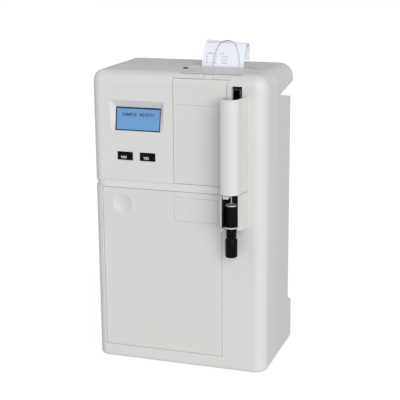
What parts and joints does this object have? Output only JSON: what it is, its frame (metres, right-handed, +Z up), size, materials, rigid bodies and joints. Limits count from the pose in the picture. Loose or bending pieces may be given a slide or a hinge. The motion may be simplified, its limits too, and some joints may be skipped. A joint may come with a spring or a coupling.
{
  "type": "electrolyte analyzer",
  "caption": "Bench electrolyte analyzer with a hinged reagent door, an electrode door, a tilted display, a sampling probe with its vial and a paper printer on top.",
  "frame": {"origin": "on the bench, under the middle of the whole object", "axes": "+X to the right seen from the front, +Y to the back, +Z up"},
  "size_m": [0.237, 0.1801, 0.4334],
  "materials": {
    "housing_plastic": "fine texture",
    "rail_plastic": "satin",
    "clear_lens": "clear",
    "lcd_glass": "gloss",
    "circuit_board": "satin",
    "black_plastic": "satin",
    "vial_plastic": "gloss",
    "inner_plastic": "satin",
    "steel": "brushed",
    "motor_steel": "satin",
    "sheet_aluminium": "satin",
    "head_ceramic": "gloss",
    "roller_rubber": "matte",
    "gear_plastic": "satin",
    "brass": "satin",
    "paper": "matte",
    "pack_plastic": "matte",
    "tube_rubber": "matte",
    "sodium_plastic": "gloss",
    "potassium_plastic": "gloss",
    "chloride_plastic": "gloss",
    "reference_plastic": "gloss"
  },
  "bodies": {
    "housing": {"front_shell": "housing_plastic", "rear_shell": "housing_plastic", "sampler_base": "housing_plastic", "front_rail": "rail_plastic", "display_lens": "clear_lens", "lcd_module": "lcd_glass", "display_board": "circuit_board", "main_board": "circuit_board", "probe_wiper": "black_plastic", "vial_clip": "black_plastic", "power_inlet": "black_plastic", "status_lamp": "black_plastic", "printer_frame": "inner_plastic", "reagent_bay": "inner_plastic", "pack_manifold": "inner_plastic", "pump_body": "inner_plastic", "valve_body": "inner_plastic", "electrode_block": "inner_plastic", "hinge_pins": "steel", "guide_rods": "steel", "housing_screws": "steel", "serial_port": "steel", "printer_motor": "motor_steel", "sampler_motor": "motor_steel", "pump_motor": "motor_steel", "valve_motor": "motor_steel", "chassis_plate": "sheet_aluminium", "sampler_bracket": "sheet_aluminium", "fluid_plate": "sheet_aluminium", "power_supply": "sheet_aluminium", "print_head": "head_ceramic", "rubber_feet": "roller_rubber", "paper_slip": "paper", "probe_tube": "tube_rubber", "pump_tube": "tube_rubber", "sodium_electrode": "sodium_plastic", "potassium_electrode": "potassium_plastic", "chloride_electrode": "chloride_plastic", "reference_electrode": "reference_plastic"},
    "main_door": {"main_door": "housing_plastic"},
    "electrode_door": {"electrode_door": "housing_plastic"},
    "printer_lid": {"printer_lid": "housing_plastic", "paper_guide_wire": "steel"},
    "no_key": {"no_key": "black_plastic"},
    "yes_key": {"yes_key": "black_plastic"},
    "probe": {"probe_carriage": "inner_plastic", "sample_probe": "steel"},
    "lead_screw": {"lead_screw": "steel"},
    "vial": {"sample_vial": "vial_plastic"},
    "sampler_cover": {"sampler_cover": "housing_plastic"},
    "reagent_pack": {"reagent_pack": "pack_plastic"},
    "pump_rotor": {"pump_rotor": "black_plastic", "pump_rollers": "steel"},
    "valve_rotor": {"valve_rotor": "inner_plastic"},
    "platen": {"platen_roller": "roller_rubber", "platen_gear": "gear_plastic"},
    "motor_pinion": {"motor_pinion": "brass"},
    "paper_roll": {"paper_roll": "paper"},
    "rocker_switch": {"rocker_switch": "black_plastic"},
    "clamp_lever": {"clamp_lever": "black_plastic"}
  },
  "joints": [
    {"name": "main_door_hinge", "type": "hinge", "parent": "housing", "child": "main_door", "pos_m": [0.0558, -0.055, 0.1305], "axis": [0, 0, 1], "range_deg": [0, 90]},
    {"name": "electrode_door_hinge", "type": "hinge", "parent": "housing", "child": "electrode_door", "pos_m": [0.031, -0.055, 0.2567], "axis": [1, 0, 0], "range_deg": [0, 90]},
    {"name": "printer_lid_hinge", "type": "hinge", "parent": "housing", "child": "printer_lid", "pos_m": [0.045, -0.0488, 0.3907], "axis": [1, 0, 0], "range_deg": [0, 100]},
    {"name": "no_key_press", "type": "slide", "parent": "housing", "child": "no_key", "axis": [0, 1, 0], "range_m": [0, 0.0012], "stiffness_N_per_m": 500},
    {"name": "yes_key_press", "type": "slide", "parent": "housing", "child": "yes_key", "axis": [0, 1, 0], "range_m": [0, 0.0012], "stiffness_N_per_m": 500},
    {"name": "probe_slide", "type": "slide", "parent": "housing", "child": "probe", "axis": [0, 0, -1], "range_m": [-0.02, 0.022], "deforming": ["probe_tube"]},
    {"name": "lead_screw_spin", "type": "hinge", "parent": "housing", "child": "lead_screw", "pos_m": [0.088, -0.033, 0.3195], "axis": [0, 0, 1], "range_deg": [-905, 995]},
    {"name": "vial_pull", "type": "slide", "parent": "housing", "child": "vial", "axis": [0, 0, -1], "range_m": [0, 0.03]},
    {"name": "sampler_cover_lift", "type": "slide", "parent": "housing", "child": "sampler_cover", "axis": [0, 0, 1], "range_m": [0, 0.025]},
    {"name": "reagent_pack_slide", "type": "slide", "parent": "housing", "child": "reagent_pack", "axis": [0, -1, 0], "range_m": [0, 0.012]},
    {"name": "pump_rotor_spin", "type": "hinge", "parent": "housing", "child": "pump_rotor", "pos_m": [0.019, -0.03, 0.3135], "axis": [0, 1, 0], "continuous": true},
    {"name": "valve_rotor_turn", "type": "hinge", "parent": "housing", "child": "valve_rotor", "pos_m": [0.019, -0.04, 0.2725], "axis": [0, 1, 0], "range_deg": [-150, 150]},
    {"name": "platen_spin", "type": "hinge", "parent": "housing", "child": "platen", "pos_m": [0.03825, 0.013, 0.381], "axis": [1, 0, 0], "continuous": true},
    {"name": "motor_pinion_spin", "type": "hinge", "parent": "housing", "child": "motor_pinion", "pos_m": [0.072, 0.00331, 0.37131], "axis": [1, 0, 0], "continuous": true},
    {"name": "paper_roll_spin", "type": "hinge", "parent": "housing", "child": "paper_roll", "pos_m": [0.03825, -0.024, 0.3735], "axis": [1, 0, 0], "continuous": true},
    {"name": "rocker_switch_tilt", "type": "hinge", "parent": "housing", "child": "rocker_switch", "pos_m": [-0.082, 0.071, 0.1045], "axis": [1, 0, 0], "range_deg": [-16, 0]},
    {"name": "clamp_lever_turn", "type": "hinge", "parent": "housing", "child": "clamp_lever", "pos_m": [0.06, -0.045, 0.2695], "axis": [0, -1, 0], "range_deg": [0, 90]}
  ],
  "couplings": [
    {"joint": "lead_screw_spin", "follows": "probe_slide", "rad_per_m": 785.4},
    {"joint": "platen_spin", "follows": "paper_roll_spin", "ratio": 3.4},
    {"joint": "motor_pinion_spin", "follows": "paper_roll_spin", "ratio": -6.8}
  ]
}
